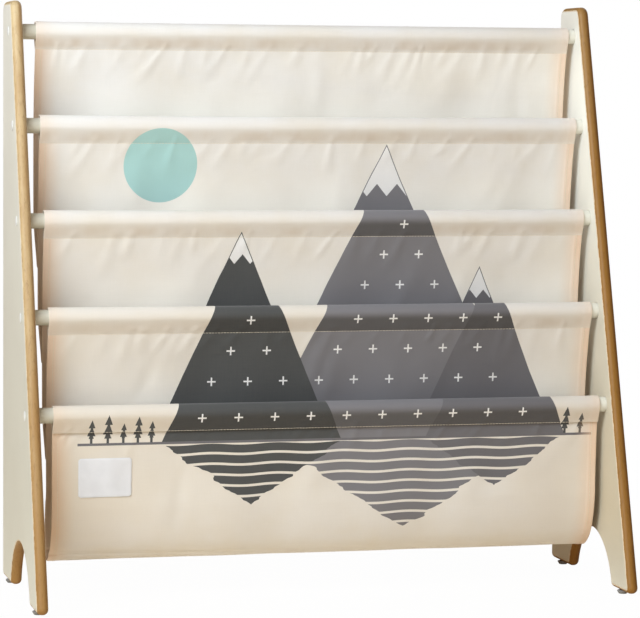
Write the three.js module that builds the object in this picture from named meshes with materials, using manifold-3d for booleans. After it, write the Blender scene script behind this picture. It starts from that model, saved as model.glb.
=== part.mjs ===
// A children's sling bookshelf: two leaning side panels, five rods and four canvas slings that hold the books.
// Millimetres, +Z up, +Y to the back. The origin is on the floor, in the middle of the shelf's width and depth.
import * as THREE from 'three';
import { mergeVertices } from 'three/addons/utils/BufferGeometryUtils.js';
import Module from 'manifold-3d';

const wasm = await Module();
wasm.setup();

// The side panels, seen from the side: a flat sole, a front edge that leans back and a nearly upright rear edge.
const panelHeight = 610;
const panelDepth = 260;
const topDepth = 62.4;
const rearLean = 11.6;
const boardThickness = 12;
const insideWidth = 603;
const topCornerRadius = 11;
const footCornerRadius = 6;
const edgeRounding = 4;

// The arch between the two feet of a panel.
const archWidth = 137;
const archHeight = 53;
const frontFootDepth = 57.5;

// The rods, counted from the top. They step down parallel to the panels' front edge.
const rodCount = 5;
const rodDiameter = 16;
const topRodDrop = 31.8;
const rodPitch = 97.1;
const rodInset = 26;
const socketDepth = 2.5;
const socketClearance = 0.5;
const seatGap = 0.3;

// The screws through the panels, the inserts in the rods' ends and the caps over the screw heads.
const screwDiameter = 5;
const screwLength = 18;
const headDiameter = 8.5;
const headHeight = 4.6;
const hexagonAcross = 4;
const hexagonDepth = 2.4;
const counterboreDepth = 5.8;
const counterboreClearance = 0.4;
const insertWall = 1.2;
const insertLength = 13;
const boreSpare = 3;
const capDiameter = 10.8;
const capRise = 1.1;
const capLip = 0.4;
const capPlugHeight = 0.7;

// The glides under the feet. The shelf stands on them, and their pins are pressed into the soles.
const glideHeight = 4;
const glideTopDiameter = 12;
const glideBottomDiameter = 9;
const glideRimHeight = 1.2;
const glidePinDiameter = 3;
const glidePinLength = 11;
const glideHoleSpare = 1;
const frontGlideFromToe = 35;
const rearGlideFromHeel = 26;

// The canvas. A hem is the cloth folded over and pressed, along both sides of every sling.
const clothThickness = 1.2;
const hemThickness = 2;
const hemWidth = 8;
const hemStep = 1;
const clothGap = 0.4;
const bareRodLeft = 15.5;
const bareRodRight = 7.5;
const seamDrop = 18;
const seamAllowance = 2;

// How the slings hang. The bow is how far the rear leg of a pocket goes behind its rod.
const pocketDepth = 148;
const legBow = 14.5;
const lowestPocketDepth = 153;
const lowestPocketReach = 54;
const lowestLegBow = 5;

// Where the points of a sling's profile lie along its legs, and how its turn goes round, as shares of the turn's reach
// from front to back and of the pocket's depth.
const turnStartShare = 0.55;
const rearLegShares = [0, 0.09, 0.2, 0.33, 0.48, 0.64, 0.82, 1];
const pocketTurnShares = [
  [0.96, 0.68],
  [0.8, 0.76],
  [0.53, 0.85],
  [0.27, 0.93],
  [0.13, 0.985],
  [0.045, 0.99],
  [0, 0.94],
];
const lowestTurnShares = [
  [0.89, 0.64],
  [0.98, 0.77],
  [0.96, 0.9],
  [0.8, 1],
  [0.56, 0.985],
  [0.28, 0.91],
  [0.09, 0.79],
];
const frontLegShares = [0.6, 0.45, 0.3, 0.14, 0];

// The soft vertical folds of the hanging cloth.
const foldDepth = 0.9;
const foldSpacing = 148;
const shortFoldShare = 0.55;
const foldPhaseStep = 2.4;
const foldFade = 70;

// The blank patch sewn on the lowest sling.
const patchWidth = 55;
const patchHeight = 40;
const patchThickness = 0.8;
const patchFromHem = 19;
const patchDrop = 45;

// How finely the round and the soft forms are divided.
const rodSides = 24;
const capSides = 16;
const hiddenSides = 12;
const archSteps = 20;
const cornerSteps = 4;
const topCornerSteps = 6;
const edgeSteps = 3;
const clothColumns = 14;
const sleeveSteps = 12;
const overrun = 1;

// The legs of two slings hang from one seam, one behind the other, and their hems must clear each other.
const legSpacing = hemThickness + clothGap;
const seamHalfWidth = (legSpacing + clothThickness) / 2;
const clothLeft = bareRodLeft - insideWidth / 2;
const clothRight = insideWidth / 2 - bareRodRight;
const rodRadius = rodDiameter / 2;
const frontLean = panelDepth - topDepth - rearLean;
const leanPerHeight = frontLean / panelHeight;

// A rounded corner stays short of its point. The origin is midway between the rounded toe and the rounded heel.
function cornerSetback(radius, angle) {
  return radius / Math.tan(angle / 2) - radius;
}
const toeSetback = cornerSetback(footCornerRadius, Math.atan2(panelHeight, frontLean));
const heelSetback = cornerSetback(footCornerRadius, Math.atan2(panelHeight, rearLean));
const toeY = -(panelDepth + toeSetback - heelSetback) / 2;
const heelY = toeY + panelDepth;
const fullBowDrop = rodPitch + pocketDepth / 2;

// Where the glides are along a sole. Heights are counted from the soles, and the whole is lifted by the glides at last.
const glidePlaces = { front: toeY + frontGlideFromToe, rear: heelY - rearGlideFromHeel };

// The axis of a rod, as y and z. Rod 0 is the top one.
function rodAxis(index) {
  const z = panelHeight - topRodDrop - index * rodPitch;
  const y = toeY + rodInset + z * leanPerHeight;
  return new THREE.Vector2(y, z);
}

// Joins and cuts need closed meshes with shared corners.
function toSolid(geometry) {
  const bare = geometry.clone();
  bare.deleteAttribute('normal');
  bare.deleteAttribute('uv');
  const merged = mergeVertices(bare);
  return new wasm.Manifold(
    new wasm.Mesh({
      numProp: 3,
      vertProperties: merged.attributes.position.array,
      triVerts: new Uint32Array(merged.index.array),
    }),
  );
}

function toGeometry(solid) {
  const mesh = solid.getMesh();
  const geometry = new THREE.BufferGeometry();
  geometry.setAttribute('position', new THREE.BufferAttribute(mesh.vertProperties, mesh.numProp));
  geometry.setIndex(new THREE.BufferAttribute(mesh.triVerts, 1));
  return shaded(geometry);
}

function shaded(geometry) {
  const flat = geometry.toNonIndexed();
  flat.computeVertexNormals();
  return flat;
}

// A turned form along X. The profile gives radius and x, and runs from the axis and back to it, or closes on itself.
function turned(profile, sides) {
  const points = profile.map(([radius, x]) => new THREE.Vector2(radius, x));
  return new THREE.LatheGeometry(points, sides).rotateZ(-Math.PI / 2);
}

// Points on an arc, from one angle to another. A negative turn goes clockwise.
function arcPoints(centre, radius, startAngle, turn, steps) {
  return Array.from({ length: steps + 1 }, (_, step) => {
    const angle = startAngle + (turn * step) / steps;
    return new THREE.Vector2(Math.cos(angle), Math.sin(angle)).multiplyScalar(radius).add(centre);
  });
}

// The arc that rounds a corner of an outline between its two neighbours, which run anticlockwise.
function roundedCorner(before, corner, after, radius, steps) {
  const toBefore = before.clone().sub(corner).normalize();
  const toAfter = after.clone().sub(corner).normalize();
  const angle = Math.acos(toBefore.dot(toAfter));
  const inward = toBefore.clone().add(toAfter).normalize();
  const centre = corner.clone().addScaledVector(inward, radius / Math.sin(angle / 2));
  const start = corner.clone().addScaledVector(toBefore, radius / Math.tan(angle / 2));
  return arcPoints(centre, radius, start.sub(centre).angle(), Math.PI - angle, steps);
}

// The outline of a panel from the side, anticlockwise from its toe.
function panelOutline() {
  const toe = new THREE.Vector2(toeY, 0);
  const heel = new THREE.Vector2(heelY, 0);
  const topRear = new THREE.Vector2(heelY - rearLean, panelHeight);
  const topFront = new THREE.Vector2(toeY + frontLean, panelHeight);

  // The arch is one circle. A small arc rounds each corner where it meets a sole.
  const archMiddle = toeY + frontFootDepth + archWidth / 2;
  const archRadius = (archWidth ** 2 / 4 + archHeight ** 2) / (2 * archHeight);
  const archCentre = new THREE.Vector2(archMiddle, archHeight - archRadius);
  const cornerRise = footCornerRadius - archCentre.y;
  const cornerAcross = Math.sqrt((archRadius + footCornerRadius) ** 2 - cornerRise ** 2);
  const cornerAngle = Math.atan2(cornerRise, cornerAcross);
  const frontCentre = new THREE.Vector2(archMiddle - cornerAcross, footCornerRadius);
  const rearCentre = new THREE.Vector2(archMiddle + cornerAcross, footCornerRadius);
  const cornerTurn = Math.PI / 2 - cornerAngle;
  const archStart = Math.PI - cornerAngle;
  const archTurn = 2 * cornerAngle - Math.PI;

  const front = arcPoints(frontCentre, footCornerRadius, -Math.PI / 2, cornerTurn, cornerSteps);
  const arch = arcPoints(archCentre, archRadius, archStart, archTurn, archSteps);
  const rear = arcPoints(rearCentre, footCornerRadius, Math.PI + cornerAngle, cornerTurn, cornerSteps);
  return new THREE.Shape([
    ...roundedCorner(topFront, toe, heel, footCornerRadius, cornerSteps),
    ...front,
    ...arch.slice(1, -1),
    ...rear,
    ...roundedCorner(toe, heel, topRear, footCornerRadius, cornerSteps),
    ...roundedCorner(heel, topRear, topFront, topCornerRadius, topCornerSteps),
    ...roundedCorner(topRear, topFront, toe, topCornerRadius, topCornerSteps),
  ]);
}

// One tool cuts what a rod needs in a panel: the rod's socket, the screw's hole and the counterbore for its head.
// Its x runs outward from the middle of the board.
function rodSeatCutter() {
  const socketRadius = rodRadius + socketClearance;
  const holeRadius = screwDiameter / 2 + counterboreClearance;
  const counterboreRadius = headDiameter / 2 + counterboreClearance;
  const inner = -boardThickness / 2;
  const outer = boardThickness / 2;
  return turned(
    [
      [0, inner - overrun],
      [socketRadius, inner - overrun],
      [socketRadius, inner + socketDepth],
      [holeRadius, inner + socketDepth],
      [holeRadius, outer - counterboreDepth],
      [counterboreRadius, outer - counterboreDepth],
      [counterboreRadius, outer + overrun],
      [0, outer + overrun],
    ],
    rodSides,
  );
}

// The hole for a glide's pin goes up from the sole, a little deeper than the pin is long.
function glideHoleCutter() {
  const holeRadius = glidePinDiameter / 2 + seatGap;
  const holeDepth = glidePinLength + glideHoleSpare;
  const cutter = new THREE.CylinderGeometry(holeRadius, holeRadius, holeDepth + overrun, hiddenSides);
  cutter.rotateX(Math.PI / 2);
  cutter.translate(0, 0, (holeDepth - overrun) / 2);
  return cutter;
}

function panelGeometry(side) {
  const board = new THREE.ExtrudeGeometry(panelOutline(), {
    depth: boardThickness - 2 * edgeRounding,
    bevelThickness: edgeRounding,
    bevelSize: edgeRounding,
    bevelOffset: -edgeRounding,
    bevelSegments: edgeSteps,
  });
  board.translate(0, 0, edgeRounding - boardThickness / 2);
  // The outline's x and y become the panel's y and z.
  board.rotateX(Math.PI / 2);
  board.rotateZ(Math.PI / 2);
  let solid = toSolid(board);
  const cutter = rodSeatCutter();
  if (side < 0) cutter.rotateZ(Math.PI);
  for (let index = 0; index < rodCount; index += 1) {
    const axis = rodAxis(index);
    solid = solid.subtract(toSolid(cutter.clone().translate(0, axis.x, axis.y)));
  }
  for (const y of Object.values(glidePlaces)) {
    solid = solid.subtract(toSolid(glideHoleCutter().translate(0, y, 0)));
  }
  return toGeometry(solid);
}

// Half the length of a rod, which ends just short of the floor of its sockets.
const rodHalfLength = insideWidth / 2 + socketDepth - seatGap;
const insertRadius = screwDiameter / 2 + seatGap + insertWall;
const insertBoreRadius = insertRadius + seatGap;

function rodGeometry() {
  const boreEnd = rodHalfLength - insertLength - boreSpare;
  const half = [
    [0, boreEnd],
    [insertBoreRadius, boreEnd],
    [insertBoreRadius, rodHalfLength],
    [rodRadius, rodHalfLength],
  ];
  const otherHalf = half.map(([radius, x]) => [radius, -x]).reverse();
  return turned([...half, ...otherHalf].reverse(), rodSides);
}

// The insert is a tube whose outer end is level with the rod's. Its x starts there and runs outward.
function insertGeometry() {
  const inside = screwDiameter / 2 + seatGap;
  return turned(
    [
      [inside, -insertLength],
      [insertRadius, -insertLength],
      [insertRadius, 0],
      [inside, 0],
      [inside, -insertLength],
    ],
    hiddenSides,
  );
}

// The screw's x starts under its head and runs outward. A hexagon socket is sunk in the head.
function screwGeometry() {
  const bevel = screwDiameter / 8;
  const body = turned(
    [
      [0, -screwLength],
      [screwDiameter / 2 - bevel, -screwLength],
      [screwDiameter / 2, bevel - screwLength],
      [screwDiameter / 2, 0],
      [headDiameter / 2, 0],
      [headDiameter / 2, headHeight - bevel],
      [headDiameter / 2 - bevel, headHeight],
      [0, headHeight],
    ],
    hiddenSides,
  );
  const cornerRadius = hexagonAcross / Math.sqrt(3);
  const hexagon = new THREE.CylinderGeometry(cornerRadius, cornerRadius, hexagonDepth + overrun, 6);
  hexagon.rotateZ(-Math.PI / 2);
  hexagon.translate(headHeight - hexagonDepth + (hexagonDepth + overrun) / 2, 0, 0);
  return toGeometry(toSolid(body).subtract(toSolid(hexagon)));
}

// The cap has a low dome and a short plug that goes into the counterbore. Its x starts at the panel's face.
function capGeometry() {
  const plugRadius = headDiameter / 2;
  const lipRadius = capDiameter / 2;
  const domeShare = 0.7;
  return turned(
    [
      [0, -capPlugHeight],
      [plugRadius, -capPlugHeight],
      [plugRadius, seatGap],
      [lipRadius, seatGap],
      [lipRadius, seatGap + capLip],
      [lipRadius * domeShare, capRise],
      [0, capRise],
    ],
    capSides,
  );
}

// A glide has a short upright rim, a tapered foot and a pin. Its z starts at the panel's sole.
function glideGeometry() {
  const profile = [
    [0, -glideHeight],
    [glideBottomDiameter / 2, -glideHeight],
    [glideTopDiameter / 2, -glideRimHeight],
    [glideTopDiameter / 2, -seatGap],
    [glidePinDiameter / 2, -seatGap],
    [glidePinDiameter / 2, glidePinLength],
    [0, glidePinLength],
  ];
  return turned(profile, capSides).rotateY(-Math.PI / 2);
}

// The cross-section of a drop-shaped loop around a rod: a round top and two straight sides down to the seam.
function dropOutline(path, radius, tipHalfWidth, tipDrop) {
  const tipDistance = Math.hypot(tipHalfWidth, tipDrop);
  const sideAngle = Math.atan2(-tipDrop, tipHalfWidth) + Math.acos(radius / tipDistance);
  path.absarc(0, 0, radius, sideAngle, Math.PI - sideAngle, false);
  path.lineTo(-tipHalfWidth, -tipDrop);
  path.lineTo(tipHalfWidth, -tipDrop);
}

function sleeveGeometry() {
  const inside = rodRadius + clothGap;
  const section = new THREE.Shape();
  dropOutline(section, inside + clothThickness, seamHalfWidth, seamDrop);
  const tunnel = new THREE.Path();
  dropOutline(tunnel, inside, seamHalfWidth / 8, seamDrop - seamAllowance);
  section.holes.push(tunnel);
  const sleeve = new THREE.ExtrudeGeometry(section, {
    depth: clothRight - clothLeft,
    bevelEnabled: false,
    curveSegments: sleeveSteps,
  });
  sleeve.rotateX(Math.PI / 2);
  sleeve.rotateZ(Math.PI / 2);
  return sleeve;
}

// How far the cloth below a rod hangs behind that rod's axis, at a drop below the axis. Both legs that share a seam
// follow this line, one in front of the other.
function legBehindRod(drop, bow) {
  const share = Math.min(1, (drop - seamDrop) / (fullBowDrop - seamDrop));
  return bow * (1 - (1 - share) ** 3);
}

// How much of its fold the cloth has at a drop below its rod. The seam keeps it straight.
function foldShareAt(drop) {
  return THREE.MathUtils.smoothstep(drop, seamDrop, seamDrop + foldFade);
}

// The fold of the cloth under one rod, as a shift along y.
function foldUnderRod(x, rodIndex) {
  const phase = rodIndex * foldPhaseStep;
  const wave = Math.sin((2 * Math.PI * x) / foldSpacing + phase);
  const shortWave = Math.sin((2 * Math.PI * x) / (foldSpacing * shortFoldShare) - 2 * phase);
  return foldDepth * (wave + shortFoldShare * shortWave);
}

// A sling's profile from its rear seam, down, under and up to its front seam. Each point has y and z, and how much it
// takes of the fold under its rear rod and of the fold under its front rod.
function slingProfile(index) {
  const isLowest = index === rodCount - 2;
  const rear = rodAxis(index);
  const front = rodAxis(index + 1);
  const depth = isLowest ? lowestPocketDepth : pocketDepth;
  const frontBow = isLowest ? lowestLegBow : legBow;
  const legTop = seamDrop + clothGap;
  const turnStart = rodPitch + depth * turnStartShare;
  const points = [];

  // The rear leg hangs in front of the leg that shares its seam, down to where it turns forward.
  for (const share of rearLegShares) {
    const drop = THREE.MathUtils.lerp(legTop, turnStart, share);
    const y = rear.x + legBehindRod(drop, legBow) - legSpacing / 2;
    points.push({ y, z: rear.y - drop, rearFold: foldShareAt(drop), frontFold: 0 });
  }

  // The turn lies between the line of the front leg and the furthest point of the rear one.
  const turnShares = isLowest ? lowestTurnShares : pocketTurnShares;
  const nearest = front.x + frontBow + legSpacing / 2;
  const furthest = isLowest ? front.x + lowestPocketReach : rear.x + legBow - legSpacing / 2;
  turnShares.forEach(([reachShare, depthShare], step) => {
    const y = THREE.MathUtils.lerp(nearest, furthest, reachShare);
    const frontFold = Math.min(1, ((step + 1) / turnShares.length) * 2);
    points.push({ y, z: front.y - depth * depthShare, rearFold: 1 - frontFold, frontFold });
  });

  // The front leg goes up to its seam, behind the rear leg of the next sling. On the lowest sling it hangs free.
  for (const share of frontLegShares) {
    const drop = THREE.MathUtils.lerp(legTop, depth, share);
    const y = front.x + legBehindRod(drop, frontBow) + legSpacing / 2;
    points.push({ y, z: front.y - drop, rearFold: 0, frontFold: foldShareAt(drop) });
  }
  return points;
}

// The places across the shelf where a sling's cloth has a row of corners, with its thickness there.
function slingColumns() {
  const columns = [
    { x: clothLeft, thickness: hemThickness },
    { x: clothLeft + hemWidth, thickness: hemThickness },
  ];
  const from = clothLeft + hemWidth + hemStep;
  const to = clothRight - hemWidth - hemStep;
  for (let step = 0; step <= clothColumns; step += 1) {
    columns.push({ x: THREE.MathUtils.lerp(from, to, step / clothColumns), thickness: clothThickness });
  }
  columns.push({ x: clothRight - hemWidth, thickness: hemThickness });
  columns.push({ x: clothRight, thickness: hemThickness });
  return columns;
}

// The outward direction of a profile at each of its points, which is to the left of its run turned about.
function profileNormals(points) {
  return points.map((point, row) => {
    const before = points[Math.max(row - 1, 0)];
    const after = points[Math.min(row + 1, points.length - 1)];
    return new THREE.Vector2(before.z - after.z, after.y - before.y).normalize();
  });
}

// A sheet of cloth: a profile run across the shelf, with an outer and an inner skin joined all round the edge.
function sheetGeometry(points, columns, foldAt) {
  const normals = profileNormals(points);
  const corners = [];
  for (const skin of [1, -1]) {
    for (const { x, thickness } of columns) {
      points.forEach((point, row) => {
        const half = (skin * thickness) / 2;
        const y = point.y + foldAt(x, point) + half * normals[row].x;
        corners.push(x, y, point.z + half * normals[row].y);
      });
    }
  }

  const rows = points.length;
  const innerStart = columns.length * rows;
  const outer = (column, row) => column * rows + row;
  const faces = [];
  for (let column = 0; column < columns.length - 1; column += 1) {
    for (let row = 0; row < rows - 1; row += 1) {
      const a = outer(column, row);
      const b = outer(column + 1, row);
      const c = outer(column + 1, row + 1);
      const d = outer(column, row + 1);
      faces.push(a, b, c, a, c, d);
      faces.push(innerStart + a, innerStart + c, innerStart + b);
      faces.push(innerStart + a, innerStart + d, innerStart + c);
    }
  }

  // The edge, once round the outer skin, is joined to the same corners of the inner one.
  const lastColumn = columns.length - 1;
  const lastRow = rows - 1;
  const edge = [];
  for (let column = 0; column < lastColumn; column += 1) edge.push(outer(column, 0));
  for (let row = 0; row < lastRow; row += 1) edge.push(outer(lastColumn, row));
  for (let column = lastColumn; column > 0; column -= 1) edge.push(outer(column, lastRow));
  for (let row = lastRow; row > 0; row -= 1) edge.push(outer(0, row));
  edge.forEach((from, place) => {
    const to = edge[(place + 1) % edge.length];
    faces.push(to, from, innerStart + from, to, innerStart + from, innerStart + to);
  });

  const sheet = new THREE.BufferGeometry();
  sheet.setAttribute('position', new THREE.Float32BufferAttribute(corners, 3));
  sheet.setIndex(faces);
  return shaded(sheet);
}

function slingGeometry(index) {
  const foldAt = (x, point) =>
    point.rearFold * foldUnderRod(x, index) + point.frontFold * foldUnderRod(x, index + 1);
  return sheetGeometry(slingProfile(index), slingColumns(), foldAt);
}

// The patch lies on the outside of the lowest sling's front leg and follows its line and its folds.
function patchGeometry() {
  const rod = rodAxis(rodCount - 1);
  const legs = slingProfile(rodCount - 2).slice(-frontLegShares.length);
  const outward = (clothThickness + patchThickness) / 2 + clothGap;
  const points = [];
  for (const share of [1, 1 / 2, 0]) {
    const drop = patchDrop + share * patchHeight;
    const upper = legs.findLast((leg) => rod.y - leg.z >= drop);
    const lower = legs.find((leg) => rod.y - leg.z <= drop);
    const between = upper === lower ? 0 : (rod.y - drop - upper.z) / (lower.z - upper.z);
    const y = THREE.MathUtils.lerp(upper.y, lower.y, between) - outward;
    points.push({ y, z: rod.y - drop, rearFold: 0, frontFold: foldShareAt(drop) });
  }
  const left = clothLeft + hemWidth + patchFromHem;
  const inner = slingColumns().filter(({ x }) => x > left && x < left + patchWidth);
  const columns = [{ x: left }, ...inner, { x: left + patchWidth }].map(({ x }) => ({ x, thickness: patchThickness }));
  return sheetGeometry(points, columns, (x, point) => point.frontFold * foldUnderRod(x, rodCount - 1));
}

const paint = { color: 0xe9e4d6, roughness: 0.55, metalness: 0 };
const canvas = { color: 0xe8dfcd, roughness: 0.95, metalness: 0 };
const sleeveCanvas = { color: 0xe2d8c4, roughness: 0.95, metalness: 0 };
const patchCloth = { color: 0xf6f5f2, roughness: 0.85, metalness: 0 };
const steel = { color: 0x9a9a9c, roughness: 0.35, metalness: 1 };
const brass = { color: 0xb59a5a, roughness: 0.35, metalness: 1 };
const capPlastic = { color: 0xf3f1ea, roughness: 0.4, metalness: 0 };
const glidePlastic = { color: 0x6f6e6b, roughness: 0.6, metalness: 0 };

const bookshelf = new THREE.Group();

// A piece's height is counted from the panels' soles.
function addPiece(name, geometry, look, x = 0, y = 0, z = 0) {
  const piece = new THREE.Mesh(geometry, new THREE.MeshStandardMaterial(look));
  piece.name = name;
  piece.position.set(x, y, z + glideHeight);
  bookshelf.add(piece);
  return piece;
}

// Pieces that a panel and a rod share, on the left and on the right. On the left they are turned about.
for (const [sideName, side] of [['left', -1], ['right', 1]]) {
  const panelMiddle = side * (insideWidth + boardThickness) / 2;
  addPiece(`side_panel_${sideName}`, panelGeometry(side), paint, panelMiddle);
  for (const [foot, y] of Object.entries(glidePlaces)) {
    addPiece(`glide_${foot}_${sideName}`, glideGeometry(), glidePlastic, panelMiddle, y);
  }
  for (let index = 0; index < rodCount; index += 1) {
    const axis = rodAxis(index);
    const outerFace = insideWidth / 2 + boardThickness;
    const fittings = [
      ['insert', insertGeometry(), brass, rodHalfLength],
      ['screw', screwGeometry(), steel, outerFace - counterboreDepth + seatGap],
      ['cap', capGeometry(), capPlastic, outerFace],
    ];
    for (const [name, geometry, look, x] of fittings) {
      const piece = addPiece(`${name}_${sideName}_${index + 1}`, geometry, look, side * x, axis.x, axis.y);
      if (side < 0) piece.rotation.z = Math.PI;
    }
  }
}

for (let index = 0; index < rodCount; index += 1) {
  const axis = rodAxis(index);
  addPiece(`rod_${index + 1}`, rodGeometry(), paint, 0, axis.x, axis.y);
  addPiece(`rod_sleeve_${index + 1}`, sleeveGeometry(), sleeveCanvas, clothLeft, axis.x, axis.y);
}
for (let index = 0; index < rodCount - 1; index += 1) {
  addPiece(`sling_${index + 1}`, slingGeometry(index), canvas);
}
addPiece('label_patch', patchGeometry(), patchCloth);

export default bookshelf;
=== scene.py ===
"""The looks of a children's sling bookshelf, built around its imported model. Metres, +Z up, +Y to the back."""

import math
from functools import partialmethod

import bpy
import numpy as np
from mathutils import Matrix, Vector, geometry


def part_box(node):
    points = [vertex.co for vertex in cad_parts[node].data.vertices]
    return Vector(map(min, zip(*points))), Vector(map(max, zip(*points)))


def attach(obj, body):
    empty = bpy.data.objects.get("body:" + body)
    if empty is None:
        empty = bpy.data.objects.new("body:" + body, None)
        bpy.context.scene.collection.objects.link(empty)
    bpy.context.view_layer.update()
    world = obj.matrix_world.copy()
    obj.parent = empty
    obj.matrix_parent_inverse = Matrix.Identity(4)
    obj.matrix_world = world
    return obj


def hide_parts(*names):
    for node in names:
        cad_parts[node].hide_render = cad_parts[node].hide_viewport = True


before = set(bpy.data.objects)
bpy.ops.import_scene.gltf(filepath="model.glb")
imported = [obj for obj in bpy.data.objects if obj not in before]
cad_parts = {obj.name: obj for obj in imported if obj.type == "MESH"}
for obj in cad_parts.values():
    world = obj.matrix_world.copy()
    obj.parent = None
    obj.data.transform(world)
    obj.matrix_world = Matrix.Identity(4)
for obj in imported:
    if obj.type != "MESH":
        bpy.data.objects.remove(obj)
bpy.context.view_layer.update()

MM = 0.001

# The photograph's camera.
CAMERA_PLACE = (-0.72879, -3.01961, 0.52255)
CAMERA_RIGHT = (0.97192896, -0.23521346, 0.00535927)
CAMERA_UP = (0.01199545, 0.07229005, 0.99731151)
PHOTO_WIDTH_PX = 640
PHOTO_FOCAL_PX = 2978.24
SENSOR_WIDTH_MM = 36

# The side panels: outline, board and edge, as the frame has them.
PANEL_HEIGHT = 610 * MM
PANEL_DEPTH = 260 * MM
TOP_DEPTH = 62.4 * MM
REAR_LEAN = 11.6 * MM
TOP_CORNER_RADIUS = 11 * MM
FOOT_CORNER_RADIUS = 6 * MM
EDGE_ROUNDING = 5.4 * MM
ARCH_WIDTH = 137 * MM
ARCH_HEIGHT = 53 * MM
FRONT_FOOT_DEPTH = 57.5 * MM
SOCKET_DEPTH = 2.5 * MM
SOCKET_RADIUS = 8.5 * MM
SCREW_HOLE_RADIUS = 2.9 * MM
COUNTERBORE_RADIUS = 4.65 * MM
COUNTERBORE_DEPTH = 5.8 * MM
ROUNDING_STEPS = 9
CORNER_STEPS = 14
ARCH_STEPS = 72
STRAIGHT_SPACING = 25 * MM
HOLE_SIDES = 48
BOARD_EDGE_ANGLE = 40

# The rods, the caps and the glides.
ROD_SOFTENING = 0.6 * MM
ROD_BORE_RADIUS = 4.3 * MM
ROD_BORE_DEPTH = 16 * MM
ROD_RING_INSET = 20 * MM
ROD_RINGS = 9
ROD_SIDES = 64
ROD_EDGE_ANGLE = 35
CAP_GAP = 0.3 * MM
CAP_LIP = 0.45 * MM
CAP_PLUG_RADIUS = 4.25 * MM
CAP_PLUG_DEPTH = 0.7 * MM
CAP_DOME_STEPS = 8
CAP_EDGE_ANGLE = 40
GLIDE_GAP = 0.3 * MM
GLIDE_FOOT_RADIUS = 4.5 * MM
GLIDE_RIM_DROP = 1.2 * MM
GLIDE_SOFTENING = 0.4 * MM
GLIDE_EDGE_ANGLE = 35
FITTING_SIDES = 40

# The cloth.
CLOTH_THICKNESS = 1.0 * MM
HEM_THICKNESS = 1.4 * MM
HEM_WIDTH = 8 * MM
HEM_STEP = 1.6 * MM
LEG_SPACING = 2.4 * MM
SEAM_DROP = 18 * MM
SEAM_GAP = 0.04 * MM
POCKET_DEPTH = 148 * MM
LEG_BOW = 14.5 * MM
LOWEST_POCKET_DEPTH = 153 * MM
LOWEST_POCKET_REACH = 54 * MM
LOWEST_LEG_BOW = 5 * MM
SLEEVE_CLEARANCE = 0.4 * MM
SLEEVE_THICKNESS = 1.0 * MM
SLEEVE_LIFTS = (1.3 * MM, 1.6 * MM, 1.7 * MM, 0.9 * MM, 0.3 * MM)
SLEEVE_LIFT_FADE = 190 * MM
SLEEVE_ARC_POINTS = 25
SLEEVE_SIDE_STEPS = 6
SLEEVE_HEM_SHARE = 1.25
HEM_EDGE_SHARE = 0.12
TURN_START_SHARE = 0.55
REAR_LEG_SHARES = (0, 0.09, 0.2, 0.33, 0.48, 0.64, 0.82, 1)
FRONT_LEG_SHARES = (0.6, 0.45, 0.3, 0.14, 0)
# A pocket's turn from its rear leg to its front leg: how far back and how far down it goes, as shares.
POCKET_TURN_SHARES = (
    (0.96, 0.68), (0.8, 0.76), (0.53, 0.85), (0.27, 0.93), (0.13, 0.985), (0.045, 0.99), (0, 0.94),
)
LOWEST_TURN_SHARES = (
    (0.89, 0.64), (0.98, 0.77), (0.96, 0.9), (0.8, 1), (0.56, 0.985), (0.28, 0.91), (0.09, 0.79),
)
FOLD_DEPTH = 0.9 * MM
FOLD_SPACING = 148 * MM
SHORT_FOLD_SHARE = 0.55
FOLD_PHASE_STEP = 2.4
FOLD_FADE = 70 * MM
TUCK_TOP = 8.5 * MM
TUCK_FULL_RISE = 4 * MM
TUCK_SEAM_WIDTH = 2.2 * MM
TUCK_SEAM_SHARE = 0.6
TUCK_FADE_SHARE = 0.3
FOLD_RISE_SHARE = 0.35
FOLD_FADE_SHARE = 0.6
BOTTOM_CREASE_LENGTH = 420 * MM
BOTTOM_CREASE_RISE = 9 * MM
BOTTOM_CREASE_WIDTH = 1.2 * MM
BOTTOM_CREASE_DEPTH = 2.4 * MM
COLUMN_SPACING = 1.6 * MM
ROW_SPACING = 3.2 * MM
SHEET_EDGE_ANGLE = 50
CURVE_STEPS = 12
HEM_COLUMNS = (0, 0.25 * MM, 0.8 * MM, 2 * MM, 4 * MM, 6 * MM, 7.3 * MM)

# The threads.
STITCH_PITCH = 3.2 * MM
STITCH_LENGTH = 2.8 * MM
STITCH_RADIUS = 0.26 * MM
STITCH_SIDES = 5
STITCH_LOOK_AHEAD = 0.5 * MM
STITCH_SINK_SHARE = 0.35
# A stitch's girth and place along it, as shares of its radius and its length.
STITCH_PROFILE = ((0.35, -0.5), (0.9, -0.36), (1, 0), (0.9, 0.36), (0.35, 0.5))
SEAM_STITCH_RISE = 0.3 * MM
HEM_STITCH_INSET = 6.4 * MM

# The label.
LABEL_THICKNESS = 0.9 * MM
LABEL_CORNER = 2.5 * MM
LABEL_RIM = 1.6 * MM
LABEL_RIM_RISE = 0.35
LABEL_EDGE_FADE = 0.5 * MM
LABEL_EDGE_SHARE = 0.35
LABEL_RISE_SHARE = 0.6
LABEL_GAP = 0.1 * MM
LABEL_COLUMNS = 40
LABEL_ROWS = 30

ROD_COUNT = 5
SLING_COUNT = ROD_COUNT - 1
SIDES = (("left", -1), ("right", 1))


def rod_axis(index):
    """The y and z of a rod's axis. Rod 0 is the top one."""
    low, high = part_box(f"rod_{index + 1}")
    return np.array((low + high)[1:]) / 2


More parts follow.
